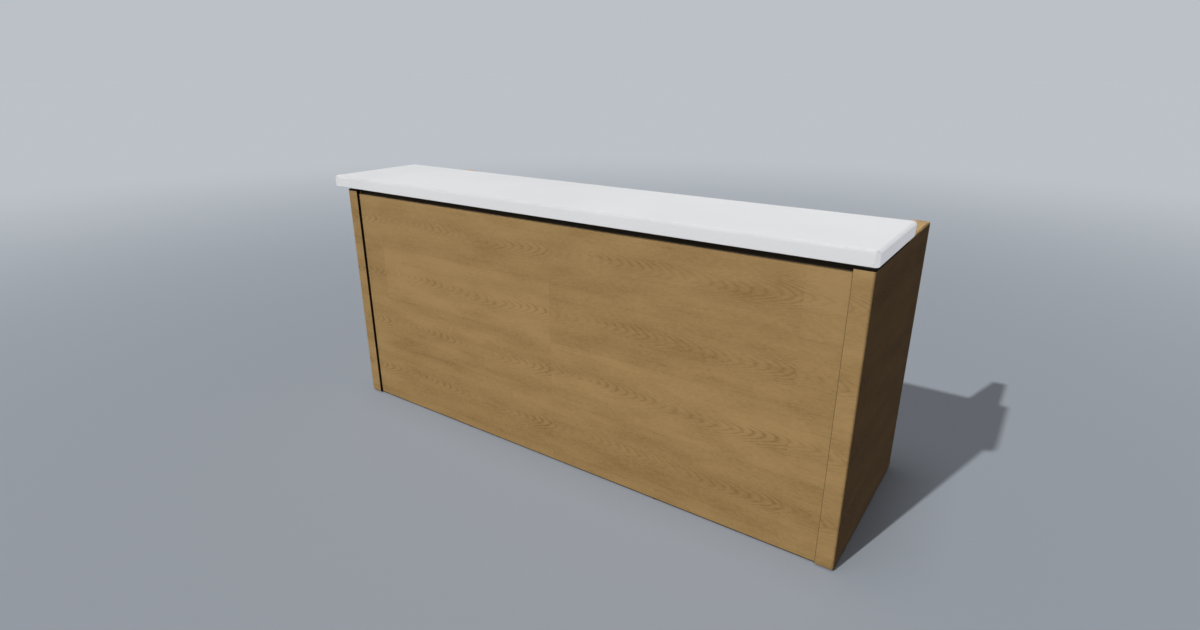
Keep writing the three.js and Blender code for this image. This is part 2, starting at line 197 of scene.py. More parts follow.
def oak(name, along, across, depth, u0=0.0, v0=0.0455, seed=0.0, tone=1.0, stagger=0.0, painted_shade=False, painted_gap_shade=False):
    s = Shader(name)
    u, v, w = s.xyz[along], s.xyz[across], s.xyz[depth]
    vv = s.mul(s.sub(v, v0), 1.0 / LEAF_H)
    row = s.math("FLOOR", vv)
    uu = s.mad(u, 1.0 / LEAF_L, u0)
    if stagger:
        uu = s.mad(s.white(s.vec(row, seed + 9.5, 0.5)), stagger, uu)
    col = s.math("FLOOR", uu)
    ul = s.mul(s.math("FRACT", uu), LEAF_L)
    dv = s.mul(s.sub(s.math("FRACT", vv), 0.5), LEAF_H)
    pick = s.white(s.vec(col, row, seed + 0.5))
    pick2 = s.white(s.vec(row, col, seed + 3.5))
    leaf = s.mad(pick, 0.5, seed)

    # the figure: growth rings cut at a slant, strongest along the leaf's middle
    wander = s.noise(s.vec(s.mul(ul, 2.2), leaf, 0.3), 1.0, 1.0)
    dvw = s.mad(s.sub(wander, 0.5), 0.045, dv)
    slow = s.noise(s.vec(s.mul(ul, 3.0), s.mul(dv, 17.0), leaf), 1.0, 2.0, 0.5)
    quick = s.noise(s.vec(s.mul(ul, 15.0), s.mul(dv, 80.0), leaf), 1.0, 2.0, 0.55)
    d = s.mad(ul, 0.122, s.mad(pick2, 0.006, 0.016))
    r = s.add(d, s.math("SQRT", s.mad(dvw, dvw, 0.05 * 0.05)))
    r = s.mad(s.sub(slow, 0.5), 0.013, r)
    r = s.mad(s.sub(quick, 0.5), 0.0018, r)
    ring = s.math("FRACT", s.mul(r, 1.0 / 0.0056))
    late = s.ramp(
        ring,
        [
            (0.0, (0.30,) * 3),
            (0.20, (0.0,) * 3),
            (0.48, (0.08,) * 3),
            (0.78, (1.0,) * 3),
            (0.90, (0.85,) * 3),
            (1.0, (0.30,) * 3),
        ],
        "EASE",
    )
    slope = s.math("DIVIDE", dvw, s.mad(d, 0.40, 0.010))
    crown = s.math("EXPONENT", s.mul(s.mul(slope, slope), -1.0))
    life = s.noise(s.vec(s.mul(ul, 2.5), s.mul(dv, 11.0), s.add(leaf, 7.0)), 1.0, 2.0, 0.5)
    late = s.mul(late, s.mul(s.span(life, 0.34, 0.66, 0.25, 1.0), s.mad(crown, 0.80, 0.20)))

    # streaks, blotches, slow changes of tone, pores and fine fibre, and painted light with height
    streak = s.noise(s.vec(s.mul(ul, 2.3), s.mul(dv, 62.0), s.add(leaf, 11.0)), 1.0, 3.0, 0.6)
    streak = s.span(streak, 0.47, 0.75, 0.0, 1.0, True)
    broad = s.noise(s.vec(s.mul(u, 1.7), s.mul(v, 5.5), seed + 17.0), 1.0, 2.0, 0.5)
    blotch = s.noise(s.vec(s.mul(u, 4.0), s.mul(v, 14.0), seed + 29.0), 1.0, 2.0, 0.5)
    fibre = s.noise(s.vec(s.mul(u, 24.0), s.mul(v, 620.0), s.mad(w, 60.0, seed)), 1.0, 2.0, 0.6)
    fleck = s.noise(s.vec(s.mul(u, 42.0), s.mul(v, 210.0), s.mad(w, 60.0, seed + 2.0)), 1.0, 2.0, 0.6)
    mottle = s.noise(s.vec(s.mul(u, 58.0), s.mul(v, 105.0), s.mad(w, 60.0, seed + 8.0)), 1.0, 2.0, 0.6, 0.6)
    pore = s.noise(s.vec(s.mul(u, 62.0), s.mul(v, 1500.0), s.mad(w, 60.0, seed + 5.0)), 1.0, 1.0, 0.5)
    pore = s.span(pore, 0.60, 0.70, 0.0, 1.0, True)
    pore = s.mul(pore, s.mad(late, 0.6, 0.5))

    dark = s.mul(late, 0.44)
    dark = s.mad(streak, 0.10, dark)
    dark = s.mad(s.sub(broad, 0.5), 0.30, dark)
    dark = s.mad(s.sub(blotch, 0.5), 0.80, dark)
    dark = s.mad(s.sub(fibre, 0.5), 0.34, dark)
    dark = s.mad(s.sub(fleck, 0.5), 0.48, dark)
    dark = s.mad(s.sub(mottle, 0.5), 0.42, dark)
    dark = s.mad(pore, 0.34, dark)
    dark = s.mad(s.sub(pick, 0.5), 0.16, dark)
    # painted light: the oak is painted lighter towards the top and darker towards the floor, standing in for light that
    # falls stronger on the upper part
    dark = s.mad(s.xyz[2], -0.22, dark)
    dark = s.add(dark, 0.31)
    colour = s.ramp(
        dark,
        [
            (0.0, tuple(c * tone for c in OAK_LIGHT)),
            (0.34, tuple(c * tone for c in OAK_MID)),
            (1.0, tuple(c * tone for c in OAK_DARK)),
        ],
    )

    # hairline joints between the leaves
    eu = s.math("ABSOLUTE", s.sub(s.math("FRACT", s.add(uu, 0.5)), 0.5))
    ev = s.math("ABSOLUTE", s.sub(s.math("FRACT", s.add(vv, 0.5)), 0.5))
    joint = s.math(
        "MAXIMUM",
        s.span(s.mul(eu, LEAF_L), 0.00005, 0.00025, 1.0, 0.0),
        s.span(s.mul(ev, LEAF_H), 0.00005, 0.00025, 1.0, 0.0),
    )
    colour = s.mix(s.mul(joint, 0.35), colour, tuple(c * 0.6 for c in OAK_DARK))

    # painted shade: the side panels are painted near-black in the reveal beside the front panel and on the top edge
    # under the slab, where the shade falls
    if painted_shade:
        inner = s.span(s.math("ABSOLUTE", s.xyz[0]), 1.1370, 1.1376, 1.0, 0.0)
        ahead = s.span(s.xyz[1], -0.3460, -0.3450, 1.0, 0.0)
        upper = s.span(s.xyz[2], 1.0445, 1.0451, 0.0, 1.0)
        under = s.span(s.xyz[1], 0.0560, 0.0570, 1.0, 0.0)
        black = s.math("MAXIMUM", s.mul(inner, ahead), s.mul(upper, under))
        colour = s.mix(black, colour, (0.012, 0.009, 0.006))
    # painted shade: the lowest 3 mm of the front panel's face is painted near-black, standing in for the shadow in the
    # gap over the floor
    if painted_gap_shade:
        colour = s.mix(s.span(s.xyz[2], 0.0067, 0.0073, 1.0, 0.0), colour, (0.020, 0.014, 0.008))

    height = s.mad(pore, -0.6, s.mad(fibre, 0.35, s.mul(late, -0.12)))
    height = s.mad(joint, -0.3, height)
    s.set(
        Base_Color=colour,
        Roughness=s.span(s.mad(late, -0.3, s.mad(pore, 0.6, fibre)), 0.0, 1.4, 0.50, 0.66),
        Specular_IOR_Level=0.18,
        Normal=s.bump(height, 0.28, 0.00035),
    )
    return s.mat


def counter_white():
    s = Shader("counter_white")
    cloud = s.noise(s.coord, 2.4, 3.0, 0.5)
    speck = s.noise(s.coord, 900.0, 1.0, 0.5)
    peel = s.noise(s.coord, 210.0, 2.0, 0.45)
    wipe = s.noise(s.scaled(5.0, 26.0, 26.0, 3.0), 1.0, 3.0, 0.55)
    colour = s.mix(s.span(cloud, 0.3, 0.7), (0.800, 0.806, 0.818), (0.832, 0.836, 0.846))
    colour = s.mix(s.span(speck, 0.66, 0.8, 0.0, 0.10), colour, (0.55, 0.56, 0.58))
    s.set(
        Base_Color=colour,
        Roughness=s.span(s.mad(wipe, 0.5, s.mul(cloud, 0.5)), 0.25, 0.75, 0.36, 0.44),
        Specular_IOR_Level=0.4,
        Normal=s.bump(peel, 0.04, 0.0002),
    )
    return s.mat


def worktop_white():
    s = Shader("worktop_laminate")
    pearl = s.cells(s.coord, 620.0)
    grit = s.noise(s.coord, 1400.0, 2.0, 0.6)
    cloud = s.noise(s.coord, 3.1, 3.0, 0.5)
    colour = s.mix(s.span(cloud, 0.3, 0.7), (0.700, 0.694, 0.676), (0.735, 0.730, 0.714))
    colour = s.mix(s.span(grit, 0.62, 0.8, 0.0, 0.12), colour, (0.45, 0.44, 0.42))
    s.set(
        Base_Color=colour,
        Roughness=s.span(s.mad(cloud, 0.6, s.mul(grit, 0.4)), 0.2, 0.8, 0.40, 0.54),
        Normal=s.bump(s.mad(grit, 0.4, s.mul(pearl, 0.8)), 0.10, 0.0002),
    )
    return s.mat


def edge_band():
    s = Shader("worktop_edge_band")
    line = s.noise(s.scaled(3.0, 3.0, 900.0), 1.0, 2.0, 0.5)
    cloud = s.noise(s.coord, 6.0, 2.0, 0.5)
    colour = s.mix(s.span(line, 0.3, 0.7), (0.640, 0.634, 0.618), (0.690, 0.684, 0.668))
    s.set(
        Base_Color=colour,
        Roughness=s.span(s.mad(line, 0.5, s.mul(cloud, 0.5)), 0.2, 0.8, 0.34, 0.46),
        Normal=s.bump(line, 0.06, 0.0001),
    )
    return s.mat


# painted shade: the batten is a real support rail, finished near-black so that the strip under the slab stands in for
# the slab's cast shadow on the front panel's top
def batten_black():
    s = Shader("batten_black")
    grain = s.noise(s.scaled(20.0, 420.0, 420.0), 1.0, 3.0, 0.55)
    cloud = s.noise(s.coord, 7.0, 3.0, 0.5)
    s.set(
        Base_Color=s.mix(s.span(cloud, 0.3, 0.7), (0.026, 0.021, 0.014), (0.040, 0.032, 0.022)),
        Roughness=s.span(grain, 0.2, 0.8, 0.62, 0.78),
        Specular_IOR_Level=0.3,
        Normal=s.bump(grain, 0.12, 0.0002),
    )
    return s.mat


def coated_steel():
    s = Shader("coated_steel")
    orange = s.noise(s.coord, 1100.0, 2.0, 0.5)
    fleck = s.cells(s.coord, 2300.0)
    cloud = s.noise(s.coord, 9.0, 3.0, 0.5)
    colour = s.mix(s.span(cloud, 0.3, 0.7), (0.026, 0.028, 0.031), (0.040, 0.042, 0.046))
    colour = s.mix(s.span(fleck, 0.0, 0.22, 0.28, 0.0), colour, (0.10, 0.105, 0.11))
    s.set(
        Base_Color=colour,
        Roughness=s.span(s.mad(orange, 0.7, s.mul(cloud, 0.3)), 0.25, 0.75, 0.44, 0.60),
        Normal=s.bump(s.mad(fleck, 0.5, orange), 0.22, 0.00025),
    )
    return s.mat


def zinc_steel():
    s = Shader("zinc_steel")
    spangle = s.cells(s.coord, 260.0)
    fine = s.noise(s.coord, 1500.0, 3.0, 0.6)
    cloud = s.noise(s.coord, 40.0, 3.0, 0.55)
    colour = s.mix(s.span(cloud, 0.3, 0.7), (0.52, 0.54, 0.56), (0.66, 0.67, 0.66))
    colour = s.mix(s.span(spangle, 0.2, 0.7, 0.0, 0.25), colour, (0.58, 0.56, 0.50))
    s.set(
        Base_Color=colour,
        Metallic=1.0,
        Roughness=s.span(s.mad(fine, 0.5, s.mul(cloud, 0.5)), 0.2, 0.8, 0.26, 0.46),
        Normal=s.bump(fine, 0.08, 0.0001),
    )
    return s.mat


def port_plastic():
    s = Shader("port_plastic")
    spark = s.noise(s.coord, 1900.0, 2.0, 0.6)
    cloud = s.noise(s.coord, 30.0, 2.0, 0.5)
    s.set(
        Base_Color=s.mix(s.span(cloud, 0.3, 0.7), (0.024, 0.025, 0.027), (0.032, 0.033, 0.035)),
        Roughness=s.span(s.mad(spark, 0.6, s.mul(cloud, 0.4)), 0.2, 0.8, 0.40, 0.58),
        Normal=s.bump(spark, 0.22, 0.00015),
    )
    return s.mat


def port_aluminium():
    s = Shader("port_aluminium")
    brush = s.noise(s.scaled(16.0, 2400.0, 2400.0), 1.0, 3.0, 0.6)
    band = s.noise(s.scaled(4.0, 260.0, 260.0, 2.0), 1.0, 2.0, 0.5)
    both = s.mad(brush, 0.65, s.mul(band, 0.35))
    s.set(
        Base_Color=s.mix(s.span(both, 0.3, 0.7), (0.47, 0.475, 0.48), (0.60, 0.605, 0.61)),
        Metallic=0.3,
        Roughness=s.span(both, 0.25, 0.75, 0.36, 0.52),
        Normal=s.bump(brush, 0.10, 0.0001),
    )
    return s.mat


def pad_rubber():
    s = Shader("pad_rubber")
    grit = s.noise(s.coord, 1300.0, 3.0, 0.6)
    dust = s.noise(s.coord, 60.0, 3.0, 0.6)
    s.set(
        Base_Color=s.mix(s.span(dust, 0.45, 0.75), (0.014, 0.014, 0.015), (0.034, 0.033, 0.032)),
        Roughness=s.span(grit, 0.2, 0.8, 0.74, 0.92),
        Specular_IOR_Level=0.3,
        Normal=s.bump(grit, 0.25, 0.0002),
    )
    return s.mat


# the front panel's face and edge finishes carry the painted shadow along the foot
OAK_FRONT = oak("oak_front", 0, 2, 1, u0=0.0, seed=0.0, painted_gap_shade=True)
OAK_FRONT_EDGE = oak("oak_front_edge", 0, 1, 2, u0=0.0, v0=-0.45, seed=21.0, painted_gap_shade=True)
# the side panel, lipping and cap finishes carry the painted shade in the reveal and under the slab
OAK_SIDE_L = oak("oak_side_left", 1, 2, 0, u0=0.37, seed=31.0, stagger=0.2, painted_shade=True)
OAK_SIDE_R = oak("oak_side_right", 1, 2, 0, u0=0.37, seed=47.0, stagger=0.2, painted_shade=True)
OAK_LIP = oak("oak_lipping", 0, 2, 1, u0=0.3, seed=63.0, painted_shade=True)
OAK_CAP = oak("oak_cap", 1, 0, 2, u0=0.4, v0=0.03, seed=79.0, tone=1.15, painted_shade=True)
WHITE = counter_white()
LAMINATE = worktop_white()
BAND = edge_band()
SHADE_BATTEN_BLACK = batten_black()
COATED = coated_steel()
ZINC = zinc_steel()
PLASTIC = port_plastic()
ALU = port_aluminium()
RUBBER = pad_rubber()


# ---------------------------------------------------------------------------
# Mesh helpers. Lengths are in millimetres here, and metres in the meshes.


def make(name, verts, faces, mats, body="desk", nodes=(), pick=None,
         bevel=0.0, segments=2, angle=40.0, sharp=None):
    mesh = bpy.data.meshes.new(name)
    mesh.from_pydata([Vector(v) * MM for v in verts], [], faces)
    bm = bmesh.new()
    bm.from_mesh(mesh)
    bmesh.ops.remove_doubles(bm, verts=bm.verts, dist=2e-6)
    bmesh.ops.recalc_face_normals(bm, faces=bm.faces)
    bm.to_mesh(mesh)
    bm.free()
    mesh.shade_smooth()
    if sharp is not None:
        mesh.set_sharp_from_angle(angle=math.radians(sharp))
    for m in mats if isinstance(mats, (list, tuple)) else [mats]:
        mesh.materials.append(m)
    if pick is not None:
        for p in mesh.polygons:
            p.material_index = pick(p.normal, p.center / MM)
    ob = bpy.data.objects.new(name, mesh)
    scene.collection.objects.link(ob)
    if bevel:
        b = ob.modifiers.new("edge", "BEVEL")
        b.width = bevel * MM
        b.segments = segments
        b.limit_method = "ANGLE"
        b.angle_limit = math.radians(angle)
        b.miter_outer = "MITER_ARC"
    n = ob.modifiers.new("normals", "WEIGHTED_NORMAL")
    n.weight = 50
    n.keep_sharp = True
    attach(ob, body)
    if nodes:
        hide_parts(*([nodes] if isinstance(nodes, str) else nodes))
    return ob


class Bag:
    """Collects several closed shells into one mesh."""

    def __init__(self):
        self.verts, self.faces = [], []

    def take(self, verts, faces, move=None):
        base = len(self.verts)
        self.verts += [move(v) if move else v for v in verts]
        self.faces += [tuple(base + i for i in f) for f in faces]
        return self


def round_rect(x0, x1, y0, y1, r, k):
    """Points round a rectangle with rounded corners, k steps to each corner."""
    pts = []
    for cx, cy, a0 in ((x1 - r, y0 + r, -90), (x1 - r, y1 - r, 0), (x0 + r, y1 - r, 90), (x0 + r, y0 + r, 180)):
        for i in range(k + 1):
            a = math.radians(a0 + 90.0 * i / k)
            pts.append((cx + r * math.cos(a), cy + r * math.sin(a)))
    return pts


def bridge(rings, closed=False, caps=True):
    """Faces between rings of equal count."""
    n = len(rings[0])
    verts = [p for ring in rings for p in ring]
    faces = []
    m = len(rings)
    for j in range(m if closed else m - 1):
        a, b = j * n, ((j + 1) % m) * n
        for i in range(n):
            k = (i + 1) % n
            faces.append((a + i, a + k, b + k, b + i))
    if caps and not closed:
        faces.append(tuple(range(n - 1, -1, -1)))
        faces.append(tuple(range((m - 1) * n, m * n)))
    return verts, faces


AXES = {0: (1, 2), 1: (2, 0), 2: (0, 1)}


def board(lo, hi, axis, corner, r0, r1, k=6, arcs=6):
    """A board with rounded edges. axis is its thickness; r0 and r1 round its low and high faces."""
    a, b = AXES[axis]
    levels = []
    for i in range(arcs + 1):
        t = math.radians(90.0 * i / arcs)
        levels.append((lo[axis] + r0 - r0 * math.cos(t), r0 - r0 * math.sin(t)))
    for i in range(arcs + 1):
        t = math.radians(90.0 * i / arcs)
        levels.append((hi[axis] - r1 + r1 * math.sin(t), r1 - r1 * math.cos(t)))
    rings = []
    for pos, inset in levels:
        ring = []
        for u, v in round_rect(lo[a] + inset, hi[a] - inset, lo[b] + inset, hi[b] - inset, max(corner - inset, 0.2), k):
            p = [0.0, 0.0, 0.0]
            p[a], p[b], p[axis] = u, v, pos
            ring.append(tuple(p))
        rings.append(ring)
    return bridge(rings)


def filleted(points, r, steps=6):
    """An open line with its corners rounded to radius r."""
    pts = [Vector(p).to_2d() for p in points]
    out = [pts[0]]
    for p, c, q in zip(pts, pts[1:], pts[2:]):
        u, v = (p - c).normalized(), (q - c).normalized()
        half = u.angle(v) / 2
        cut = r / math.tan(half)
        mid = c + (u + v).normalized() * (r / math.sin(half))
        s, e = c + u * cut - mid, c + v * cut - mid
        turn = math.atan2(s.x * e.y - s.y * e.x, s.dot(e))
        for i in range(steps + 1):
            a = turn * i / steps
            out.append(mid + Vector((s.x * math.cos(a) - s.y * math.sin(a), s.x * math.sin(a) + s.y * math.cos(a))))
    out.append(pts[-1])
    return out


def sheet(line, stations, t, place, skip=None):
    """Sheet of thickness t along a centre line, run over the stations. skip(i, j) leaves a cell open.
    place(s, p, q) gives the point at station s and section point p, q."""
    line = [Vector(p).to_2d() for p in line]
    norm = []
    for i, p in enumerate(line):
        a = (p - line[i - 1]).normalized() if i else None
        b = (line[i + 1] - p).normalized() if i + 1 < len(line) else None
        a, b = a or b, b or a
        na, nb = Vector((-a.y, a.x)), Vector((-b.y, b.x))
        m = (na + nb).normalized()
        norm.append(m / max(m.dot(na), 0.3))
    n, m = len(line), len(stations)
    verts = []
    for side in (0.5, -0.5):
        for p, k in zip(line, norm):
            q = p + k * (t * side)
            for s in stations:
                verts.append(place(s, q.x, q.y))

    def at(side, i, j):
        return side * n * m + i * m + j

    kept = {(i, j) for i in range(n - 1) for j in range(m - 1) if not (skip and skip(i, j))}
    faces = []
    for i, j in sorted(kept):
        faces.append((at(0, i, j), at(0, i + 1, j), at(0, i + 1, j + 1), at(0, i, j + 1)))
        faces.append((at(1, i, j), at(1, i, j + 1), at(1, i + 1, j + 1), at(1, i + 1, j)))
        for (ni, nj), (pi, pj), (qi, qj) in (
            ((i - 1, j), (i, j), (i, j + 1)),
            ((i + 1, j), (i + 1, j), (i + 1, j + 1)),
            ((i, j - 1), (i, j), (i + 1, j)),
            ((i, j + 1), (i, j + 1), (i + 1, j + 1)),
        ):
            if (ni, nj) not in kept:
                faces.append((at(0, pi, pj), at(0, qi, qj), at(1, qi, qj), at(1, pi, pj)))
    return verts, faces


def lathe(profile, n=40, shape=None):
    """Round piece about an upright axis. The profile is radius and height, from axis to axis.
    shape(j, angle) scales the radius of profile point j."""
    rings, verts, faces = [], [], []
    for j, (r, z) in enumerate(profile):
        if r < 1e-6:
            rings.append([len(verts)])
            verts.append((0.0, 0.0, z))
            continue
        ring = []
        for i in range(n):
            a = 2 * math.pi * i / n
            k = shape(j, a) if shape else 1.0
            ring.append(len(verts))
            verts.append((r * k * math.cos(a), r * k * math.sin(a), z))
        rings.append(ring)
    for p, q in zip(rings, rings[1:]):
        for i in range(n):
            k = (i + 1) % n
            if len(p) == 1 and len(q) > 1:
                faces.append((p[0], q[k], q[i]))
            elif len(q) == 1 and len(p) > 1:
                faces.append((p[i], p[k], q[0]))
            elif len(p) > 1:
                faces.append((p[i], p[k], q[k], q[i]))
    return verts, faces


def rounded(points, r, steps=3):
    """A lathe profile with its inner corners rounded to about r."""
    return [tuple(p) for p in filleted(points, r, steps)]


def hexagon(a):
    """How far out a hexagon's side is, against its corner."""
    b = (a + math.pi / 6) % (math.pi / 3) - math.pi / 6
    return math.cos(math.pi / 6) / math.cos(b)


def aim(point, direction):
    """Moves a piece made about +Z so that its +Z points along direction, with its origin at point."""
    z = Vector(direction).normalized()
    x = Vector((1, 0, 0)) if abs(z.x) < 0.9 else Vector((0, 1, 0))
    y = z.cross(x).normalized()
    x = y.cross(z)
    o = Vector(point)
    return lambda v: tuple(o + x * v[0] + y * v[1] + z * v[2])


SIDES = (("left", -1), ("right", 1))

# ---------------------------------------------------------------------------
# Boards

verts, faces = board((-1216.5, -417.5, 1070.0), (1216.5, 60.5, 1120.0), 2, 16.0, 4.5, 12.0, 10, 10)
slab = make("counter_top_slab", verts, faces, WHITE, nodes="counter_top")


def side_pick(normal, centre):
    if abs(normal.x) > 0.985:
        return 0
    return 1 if abs(normal.y) > abs(normal.z) else 2


for side, s in SIDES:
    x0, x1 = sorted((s * 1136.0, s * 1200.0))
    verts, faces = board((x0, -362.5, 4.0), (x1, 417.5, 1053.0), 0, 8.0, 1.5 if s > 0 else 8.0, 8.0 if s > 0 else 1.5, 8, 8)
    make("side_panel_board_" + side, verts, faces,
         [OAK_SIDE_L if s < 0 else OAK_SIDE_R, OAK_LIP, OAK_CAP],
         nodes="side_panel_" + side, pick=side_pick)

verts, faces = board((-1135.9, -351.5, 4.0), (1135.9, -326.5, 1030.0), 1, 0.8, 0.8, 0.8, 3, 4)
make("front_panel_board", verts, faces, [OAK_FRONT, OAK_FRONT_EDGE], nodes="front_panel",
     pick=lambda n, c: 0 if abs(n.y) > 0.8 else 1)

PORTS = ((-640.0, -200.0), (640.0, -200.0))
ys = [-324.5, -243.0, -157.0, 400.0]
xs = [-1134.0, -723.0, -557.0, 557.0, 723.0, 1134.0]
verts, faces = sheet([(y, 727.5) for y in ys], xs, 25.0, lambda s, p, q: (s, p, q),
                     skip=lambda i, j: i == 1 and j in (1, 3))
make("worktop_board", verts, faces, [LAMINATE, BAND], nodes="worktop",
     pick=lambda n, c: 0 if abs(n.z) > 0.5 else 1, bevel=1.6, segments=3)

# the near-black rail fills the strip between the front panel's top and the slab, standing in for the slab's cast shadow
verts, faces = board((-1135.5, -339.5, 1030.0), (1135.5, -296.5, 1070.0), 0, 1.2, 1.2, 1.2, 3, 3)
make("shadow_gap_rail", verts, faces, SHADE_BATTEN_BLACK, nodes="shadow_gap_batten")

# ---------------------------------------------------------------------------
# Steel that carries the boards


def tube(name, node, y0, y1, z0, z1, wall):
    half = 1131.5
    rings = []
    for x, grow in ((-half, -0.5), (-half + 0.5, 0.0), (half - 0.5, 0.0), (half, -0.5)):
        rings.append([(x, p, q) for p, q in round_rect(y0 - grow, y1 + grow, z0 - grow, z1 + grow, 5.0, 6)])
    for x, grow in ((half, 0.4), (half - 0.4, 0.0), (-half + 0.4, 0.0), (-half, 0.4)):
        w = wall - grow
        rings.append([(x, p, q) for p, q in round_rect(y0 + w, y1 - w, z0 + w, z1 - w, 2.2, 6)])
    verts, faces = bridge(rings, closed=True)
    make(name, verts, faces, COATED, nodes=node)


tube("counter_beam_tube", "counter_beam", 5.0, 45.0, 1010.0, 1070.0, 3.0)
tube("worktop_beam_tube", "worktop_beam", 265.0, 295.0, 665.0, 715.0, 3.0)

for side, s in SIDES:
    for what, y, half, shelf, top in (("counter", 25.0, 30.0, 1006.0, 1044.0), ("worktop", 280.0, 25.0, 661.0, 711.0)):
        line = filleted([(1134.0, top), (1134.0, shelf + 2.0), (1096.0, shelf + 2.0)], 4.5)
        verts, faces = sheet(line, [y - half, y + half], 4.0, lambda a, p, q, s=s: (s * p, a, q))
        make(f"{what}_beam_seat_{side}", verts, faces, COATED,
             nodes=f"{what}_beam_shoe_{side}", bevel=0.7, segments=2)
    line = filleted([(1134.0, 675.0), (1134.0, 713.0), (1096.0, 713.0)], 4.5)
    verts, faces = sheet(line, [-240.0, 220.0], 4.0, lambda a, p, q, s=s: (s * p, a, q))
    make("worktop_angle_" + side, verts, faces, COATED,
         nodes="worktop_cleat_" + side, bevel=0.7)
    for level, z in (("lower", 100.0), ("upper", 850.0)):
        line = filleted([(1134.0, -266.5), (1134.0, -324.5), (1076.0, -324.5)], 4.5)
        verts, faces = sheet(line, [z, z + 120.0], 4.0, lambda a, p, q, s=s: (s * p, q, a))
        make(f"corner_angle_{level}_{side}", verts, faces, COATED,
             nodes=f"corner_bracket_{level}_{side}", bevel=0.7)

line = filleted([(-324.5, 675.0), (-324.5, 713.0), (-286.5, 713.0)], 4.5)
verts, faces = sheet(line, [-900.0, 900.0], 4.0, lambda a, p, q: (a, p, q))
make("worktop_angle_front", verts, faces, COATED, nodes="worktop_cleat_front", bevel=0.7)

# Cable tray: folded sheet with slots for ties along its floor
line = filleted([(-254.0, 689.25), (-261.25, 689.25), (-261.25, 610.75), (-206.0, 610.75)], 2.4)
line += filleted([(-198.0, 610.75), (-142.75, 610.75), (-142.75, 689.25), (-150.0, 689.25)], 2.4)
slot_cell = next(i for i, p in enumerate(line) if abs(p[0] + 206.0) < 0.01)
cuts = [-800.0]
for x in (-560.0, -400.0, -240.0, -80.0, 80.0, 240.0, 400.0, 560.0):
    cuts += [x - 15.0, x + 15.0]
cuts.append(800.0)
verts, faces = sheet(line, cuts, 1.5, lambda a, p, q: (a, p, q),
                     skip=lambda i, j: i == slot_cell and j % 2 == 1)
make("cable_tray_trough", verts, faces, COATED, nodes="cable_tray", bevel=0.35)

for place, x in (("left", -760.0), ("middle", 0.0), ("right", 760.0)):
    line = filleted([(-284.5, 713.75), (-263.25, 713.75), (-263.25, 608.75), (-140.75, 608.75),
                     (-140.75, 713.75), (-119.5, 713.75)], 3.6)
    verts, faces = sheet(line, [x - 15.0, x + 15.0], 2.5, lambda a, p, q: (a, p, q))
    make("tray_hanger_" + place, verts, faces, COATED,
         nodes="tray_strap_" + place, bevel=0.5)

# ---------------------------------------------------------------------------
# Fasteners


def hex_bolt(seat, top):
    """Flanged hexagon bolt that points up from its seat."""
    head = [(0.0, -5.5), (4.6, -5.5), (6.5, -5.3), (7.5, -4.7), (7.5, -1.7), (7.6, -1.5),
            (8.7, -1.1), (8.9, -0.6), (8.7, 0.0)]
    hexes = {2, 3, 4}
    shank = [(4.0, 0.0), (4.0, 1.0)]
    z = 1.5
    while z + 1.25 < top - seat - 1.0:
        shank += [(3.55, z), (4.0, z + 0.62)]
        z += 1.25
    shank += [(3.5, top - seat - 0.5), (3.0, top - seat), (0.0, top - seat)]
    verts, faces = lathe(head + shank, 36, lambda j, a: hexagon(a) if j in hexes else 1.0)
    return verts, faces


def put_bolt(name, node, x, y, seat, top):
    verts, faces = hex_bolt(seat, top)
    make(name, [(v[0] + x, v[1] + y, v[2] + seat) for v in verts], faces, ZINC, nodes=node, sharp=32)


for side, s in SIDES:
    put_bolt("counter_seat_screw_" + side, "counter_shoe_bolt_" + side, s * 1112.0, 25.0, 1006.0, 1018.0)
    put_bolt("worktop_seat_screw_" + side, "worktop_shoe_bolt_" + side, s * 1112.0, 280.0, 661.0, 673.0)
    put_bolt("counter_screw_front_" + side, "counter_bolt_front_" + side, s * 700.0, -310.0, 1033.0, 1096.0)
    put_bolt("counter_screw_rear_" + side, "counter_bolt_rear_" + side, s * 700.0, 25.0, 1010.0, 1096.0)
    put_bolt("worktop_screw_front_" + side, "worktop_bolt_front_" + side, s * 700.0, -300.0, 711.0, 731.0)
    put_bolt("worktop_screw_rear_" + side, "worktop_bolt_rear_" + side, s * 700.0, 280.0, 665.0, 731.0)


def button(r):
    """Button-head screw with a hexagon socket, its seat at 0."""
    k = r / 3.6
    prof = [(0.0, 0.9), (1.15, 0.9), (1.25, 1.9), (1.7, 2.25), (2.5, 1.95), (3.2, 1.2), (3.55, 0.5), (3.6, 0.1), (3.5, 0.0), (0.0, 0.0)]
    return lathe([(a * k, b * k) for a, b in prof], 30, lambda j, a: hexagon(a) if j in (1, 2) else 1.0)


def screws(name, places, r=3.6):
    bag = Bag()
    v, f = button(r)
    for point, direction in places:
        bag.take(v, f, aim(point, direction))
    make(name, bag.verts, bag.faces, ZINC, sharp=50)


at = []
for side, s in SIDES:
    for z in (100.0, 850.0):
        for dz in (18.0, 60.0, 102.0):
            at.append(((s * 1132.0, -281.0, z + dz), (-s, 0, 0)))
            at.append(((s * 1091.0, -322.5, z + dz), (0, 1, 0)))
screws("bracket_screws", at)

at = []
for side, s in SIDES:
    for y in (-205.0, -75.0, 55.0, 185.0):
        at.append(((s * 1132.0, y, 692.0), (-s, 0, 0)))
    for y in (-140.0, -10.0, 120.0):
        at.append(((s * 1113.0, y, 711.0), (0, 0, -1)))
for x in (-860.0, -580.0, -300.0, 0.0, 300.0, 580.0, 860.0):
    at.append(((x, -322.5, 692.0), (0, 1, 0)))
for x in (-430.0, -140.0, 140.0, 430.0):
    at.append(((x, -303.0, 711.0), (0, 0, -1)))
screws("angle_screws", at)

